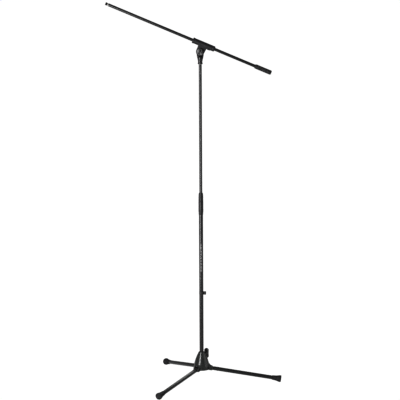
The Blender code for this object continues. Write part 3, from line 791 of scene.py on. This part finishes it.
def make_tilt_knob():
    """Round knob with a scalloped rim, a crowned face and an S-shaped grip across it."""
    place = TILT @ ALONG_Y
    low, high = span("tilt_wing_knob", TILT, 1)
    face = low + 7.2 * MM
    disc = rounded([
        (0, face), (5.5 * MM, face - 0.2 * MM), (14.2 * MM, face - 2.4 * MM),
        (16.4 * MM, face - 3.2 * MM), (17.2 * MM, face - 4.3 * MM), (16.8 * MM, low + 1.0 * MM),
        (15.4 * MM, low), (0, low),
    ], 0.8 * MM)

    def scallops(angle, height):
        return 1 - 0.018 * max(0.0, math.cos(20 * angle)) ** 2

    left = []
    right = []
    count = 41
    sway = 4.8 * MM
    reach = 14.2 * MM
    thick = 3.1 * MM
    for i in range(count):
        t = -1 + 2 * i / (count - 1)
        x = sway * math.sin(math.pi * t)
        y = reach * t
        run = Vector((sway * math.pi * math.cos(math.pi * t), reach)).normalized()
        half = thick * (1 - 0.35 * abs(t) ** 6)
        left.append((x - half * run.y, y + half * run.x))
        right.append((x + half * run.y, y - half * run.x))
    height = high - face + 2 * MM
    blade = slab(rounded(right + left[::-1], 1.2 * MM, True), height / 2, 1.6 * MM)
    blade = moved(blade, Matrix.Translation((0, 0, high - height / 2)))
    bore_end = 17.8 * MM
    cuts = [bar(PIN_BORE, low - 5 * MM, bore_end)]
    disc_mesh = lathe(disc, 160, False, scallops)
    mesh = carved([disc_mesh, blade], cuts, voxel=0.38 * MM, passes=5)
    show("tilt_wing_knob", mesh, place, KNOB_BLACK, sharp=60)


# Boom ---------------------------------------------------------------------------------------

def make_sleeve():
    """Clamp sleeve with grooved ends, two cheeks round the ear and a boss for the screw."""
    rear, front = span("boom_clamp_sleeve", TILT, 0)
    radius = 12.7 * MM
    ring = 0.45 * MM
    profile = [(0, front), (radius, front)]
    for z in (front - 3.2 * MM, front - 5.4 * MM, rear + 7.2 * MM, rear + 5.0 * MM):
        profile += [(radius, z + 0.5 * MM), (radius - ring, z + 0.1 * MM),
                    (radius - ring, z - 0.4 * MM), (radius, z - 0.8 * MM)]
    profile += [(radius, rear), (0, rear)]
    line = Matrix.Translation((0, 0, BOOM_AXIS))
    adds = [moved(lathe(rounded(profile, 0.4 * MM), 128), line @ ALONG_X)]
    cheek = arc(0, 0, 19.5 * MM, 188, 352, 41) + [
        (19.3 * MM, 8 * MM), (19.3 * MM, 15 * MM), (21.5 * MM, 34 * MM),
        (-22.5 * MM, 34 * MM), (-21.2 * MM, 15 * MM), (-20.5 * MM, 8 * MM),
    ]
    cheek_y = 8.5 * MM
    for side in (1, -1):
        plate = slab(rounded(cheek, 3 * MM, True), 2.3 * MM, 0.9 * MM)
        adds.append(moved(plate, Matrix.Translation((0, side * cheek_y, 0)) @ FLAT_XZ))
    boss = [
        (-15.0 * MM, 33.0 * MM), (-48.5 * MM, 33.0 * MM), (-48.5 * MM, 26.2 * MM),
        (-42.0 * MM, 23.8 * MM), (-30.0 * MM, 22.1 * MM), (-15.0 * MM, 21.6 * MM),
    ]
    adds.append(moved(slab(rounded(boss, 2 * MM, True), 8 * MM, 1.2 * MM), FLAT_XZ))
    screw_x = sum(span("boom_clamp_screw", TILT, 0)) / 2
    at_screw = Matrix.Translation((screw_x, 0, 0))
    cuts = [
        moved(bar(9 * MM, -0.1, 0.1, 96), line @ ALONG_X),
        moved(drill(PIN_BORE), FLAT_XZ),
        moved(bar(5.1 * MM, 10 * MM, 25.1 * MM), at_screw),
        moved(bar(4.9 * MM, 26.9 * MM, 35 * MM), at_screw),
        moved(bar(2.8 * MM, 10 * MM, 34 * MM), at_screw),
    ]
    mesh = carved(adds, cuts, voxel=0.5 * MM, passes=6)
    show("boom_clamp_sleeve", mesh, TILT, SLEEVE_BLACK, sharp=60)


def make_bushes():
    """Plastic bushes in the sleeve's two ends, each with its radius, chamfer and lip."""
    inner = BOOM_BORE
    spigot = 8.7 * MM
    sides = (
        ("front", 1, 13.5 * MM, 1.2 * MM, 2.4 * MM),
        ("rear", -1, 13.0 * MM, 3.2 * MM, 0),
    )
    for label, side, outer, chamfer, lip in sides:
        low, high = span(f"sleeve_bush_{label}", TILT, 0)
        near, far = sorted((abs(low), abs(high)))
        far += lip
        step = near + 6 * MM
        profile = rounded([
            (inner + 0.5 * MM, far - 0.8 * MM), (inner + 1.0 * MM, far), (outer - chamfer, far),
            (outer, far - chamfer), (outer, step + 0.3 * MM), (outer - 0.5 * MM, step),
            (spigot, step), (spigot, near), (inner, near),
        ], 0.5 * MM, True)
        turn = Matrix.Rotation(side * QUARTER, 4, "Y")
        place = TILT @ Matrix.Translation((0, 0, BOOM_AXIS)) @ turn
        show(f"sleeve_bush_{label}", lathe(profile, 96, True), place, CLUTCH_BLACK)


def make_boom_screw():
    """Steel cap screw with a six-sided socket in its head."""
    screw_x = sum(span("boom_clamp_screw", TILT, 0)) / 2
    low, high = span("boom_clamp_screw", TILT, 2)
    head_r = 4.6 * MM
    head_top = low + 4 * MM
    shank = threaded(2.5 * MM, 0.2 * MM, 0.5 * MM, head_top, high)[:-2]
    head = rounded([
        (2.3 * MM, head_top), (head_r, head_top), (head_r, low), (0, low),
    ], 0.5 * MM)
    socket = bar(2.1 * MM, low - 1 * MM, low + 1.8 * MM, 6)
    mesh = carved([lathe(shank + head, 72)], [socket])
    place = TILT @ Matrix.Translation((screw_x, 0, 0))
    show("boom_clamp_screw", mesh, place, PLAIN_STEEL, sharp=30)


def make_boom():
    """Boom tube with what it carries: the tip stud, the rear grip and the adapter."""
    rear, front = span("boom_tube", TILT, 0)
    inner = BOOM_R - UPPER_WALL
    show("boom_tube", tube(BOOM_R, inner, rear, front, 0.5 * MM, 72), BOOM, BOOM_BLACK)
    low, high = span("tip_stud", TILT, 0)
    ridges = threaded(THREAD_R, THREAD_DEPTH, 1.0 * MM, front + 1.6 * MM, high)[:-2]
    plug = inner - GAP
    stud = ridges + [
        (4.25 * MM, front + 1.5 * MM), (6.2 * MM, front + 1.2 * MM), (6.2 * MM, front + GAP),
        (plug, front + GAP), (plug, low), (0, low),
    ]
    show("tip_stud", lathe(stud, 64), BOOM, BRIGHT_STEEL, sharp=30)
    make_rear_grip()
    make_adapter()


def make_rear_grip():
    """Rubber grip on the rear end, with one groove round it and a rounded closed end."""
    end, start = span("rear_grip", TILT, 0)
    bore = BOOM_BORE
    radius = 10.25 * MM
    groove_r = 9.75 * MM
    cap = end + 4 * MM
    groove = end + 44.8 * MM
    profile = [
        (0, cap), (bore, cap), (bore, start), (8.6 * MM, start), (9.2 * MM, start - 0.8 * MM),
        (9.7 * MM, start - 3 * MM), (10.1 * MM, start - 6.5 * MM), (radius, start - 10 * MM),
        (radius, groove + 1.1 * MM), (groove_r, groove + 0.4 * MM),
        (groove_r, groove - 0.4 * MM), (radius, groove - 1.1 * MM),
        (radius, end + 5.5 * MM), (9.9 * MM, end + 2.6 * MM),
        (9.1 * MM, end + 0.8 * MM), (7.6 * MM, end), (0, end),
    ]
    show("rear_grip", lathe(rounded(profile, 0.5 * MM), 96), BOOM, GRIP_RUBBER)


def make_adapter():
    """Ridged thread adapter on the tip stud."""
    mouth, end = span("thread_adapter", TILT, 0)
    bore = 5 * MM
    depth = end - 2.8 * MM
    radius = 6.9 * MM
    outer = []
    count = 6
    pitch = (end - mouth - 1.6 * MM) / count
    for i in range(count):
        z = end - 0.8 * MM - pitch * i
        outer += [(radius, z - 0.2 * pitch), (radius - 0.4 * MM, z - 0.75 * pitch)]
    profile = [(0, end), (6.2 * MM, end)] + outer + [
        (6.4 * MM, mouth), (bore, mouth), (bore, depth), (0, depth),
    ]
    show("thread_adapter", lathe(profile, 72), BOOM, CLUTCH_BLACK, sharp=30)


def dress_hidden_nodes():
    """Pieces that stay inside others keep their CAD shape and get a finished material."""
    looks = {
        "pole_end_plug": INNER_BLACK, "clutch_collet": INNER_BLACK, "glide_bush": INNER_BLACK,
        "counterweight_core": PLAIN_STEEL, "boom_clamp_pad": INNER_BLACK,
    }
    for node, material in looks.items():
        data = frame["nodes"][node].data
        if not data.materials:
            data.materials.append(material)
        data.materials[0] = material


# Stage --------------------------------------------------------------------------------------

def make_stage():
    """Plain white floor that curves up all round, far outside the stand."""
    flat = 20.0
    bend = 6.0
    rim = 16.0
    line = [(0, 0), (flat, 0)]
    line += [(flat + bend * math.sin(a), bend - bend * math.cos(a))
             for a in [QUARTER * k / 16 for k in range(1, 17)]]
    line.append((flat + bend, rim))
    mesh = lathe(line, 96)
    mesh.flip_normals()
    mesh.shade_smooth()
    material = bpy.data.materials.new("studio_white")
    material.use_nodes = True
    shader = material.node_tree.nodes["Principled BSDF"]
    for socket, value in (
            ("Base Color", (0.04, 0.04, 0.04, 1)), ("Roughness", 1.0),
            ("Specular IOR Level", 0.0), ("Emission Color", (1, 1, 1, 1)),
            ("Emission Strength", 0.99)):
        shader.inputs[socket].default_value = value
    mesh.materials.append(material)
    floor = bpy.data.objects.new("studio_floor", mesh)
    bpy.context.scene.collection.objects.link(floor)
    floor.visible_diffuse = False
    floor.visible_glossy = False
    floor.visible_shadow = False


def add_light(name, azimuth, distance, height, width, length, power, only=()):
    """An upright soft box aimed at the stand's middle.

    Azimuth is measured from the camera's side, positive to the right. With only, the light acts
    on the named pieces alone.
    """
    turn = math.radians(azimuth)
    middle = POLE_FOOT + Vector((0, 0, 0.9))
    place = Vector((distance * math.sin(turn), -distance * math.cos(turn), 0)) + POLE_FOOT
    place.z = height
    lamp = bpy.data.lights.new(name, "AREA")
    lamp.energy = power
    lamp.shape = "RECTANGLE"
    lamp.size = width
    lamp.size_y = length
    item = bpy.data.objects.new(name, lamp)
    bpy.context.scene.collection.objects.link(item)
    item.location = place
    item.rotation_euler = (middle - place).to_track_quat("-Z", "Y").to_euler()
    if only:
        lit = bpy.data.collections.new(f"{name}_lit")
        for node in only:
            lit.objects.link(bpy.data.objects[f"{node}_fine"])
        item.light_linking.receiver_collection = lit


def make_lights():
    """Even studio light, brighter from below the horizon, and four soft boxes."""
    world = bpy.data.worlds.new("studio")
    world.use_nodes = True
    tree = world.node_tree
    sky = tree.nodes["Background"]
    sky.inputs["Color"].default_value = (1, 1, 1, 1)
    direction = tree.nodes.new("ShaderNodeTexCoord")
    split = tree.nodes.new("ShaderNodeSeparateXYZ")
    bounce = tree.nodes.new("ShaderNodeMapRange")
    for socket, value in (
            ("From Min", -0.10), ("From Max", 0.05), ("To Min", 0.95), ("To Max", 0.5)):
        bounce.inputs[socket].default_value = value
    tree.links.new(direction.outputs["Generated"], split.inputs["Vector"])
    tree.links.new(split.outputs["Z"], bounce.inputs["Value"])
    tree.links.new(bounce.outputs["Result"], sky.inputs["Strength"])
    bpy.context.scene.world = world
    add_light("key", azimuth=-33, distance=3.5, height=1.5, width=1.2, length=3.6, power=235)
    add_light("rim", azimuth=148, distance=4.0, height=2.8, width=4.5, length=3.5, power=170,
              only=("leg_tube_3", "foot_cap_3"))
    add_light("side", azimuth=78, distance=4.0, height=1.6, width=4.0, length=2.8, power=60,
              only=("base_casting", "base_wing_knob"))
    add_light("kick", azimuth=10, distance=2.0, height=0.1, width=0.7, length=0.7, power=50,
              only=("tilt_wing_knob",))


def make_camera():
    """Long lens eight metres in front of the pole, a little higher than its top."""
    distance = 8.0
    height = 2.131
    pitch = math.radians(8.804)
    roll = math.radians(-0.28)
    yaw = math.radians(-0.030)
    forward = Vector((
        math.sin(yaw) * math.cos(pitch), math.cos(yaw) * math.cos(pitch), -math.sin(pitch),
    ))
    level = Vector((math.cos(yaw), -math.sin(yaw), 0))
    upward = level.cross(forward)
    right = level * math.cos(roll) + upward * math.sin(roll)
    up = upward * math.cos(roll) - level * math.sin(roll)
    data = bpy.data.cameras.new("camera")
    data.sensor_width = 36
    data.lens = 152.46
    data.clip_end = 200
    camera = bpy.data.objects.new("camera", data)
    bpy.context.scene.collection.objects.link(camera)
    turn = Matrix((right, up, -forward)).transposed().to_4x4()
    spot = POLE_FOOT + Vector((0, -distance, height))
    camera.matrix_world = Matrix.Translation(spot) @ turn
    bpy.context.scene.camera = camera


make_camera()
make_casting()
make_base_clamp()
for leg_number in LEGS:
    make_leg(leg_number)
    make_foot(leg_number)
make_pole()
make_clutch()
make_clip()
make_pole_stud()
make_socket()
make_tilt_hardware()
make_tilt_knob()
make_sleeve()
make_bushes()
make_boom_screw()
make_boom()
dress_hidden_nodes()
make_stage()
make_lights()
view = bpy.context.scene.view_settings
view.view_transform = "Standard"
view.gamma = 0.60
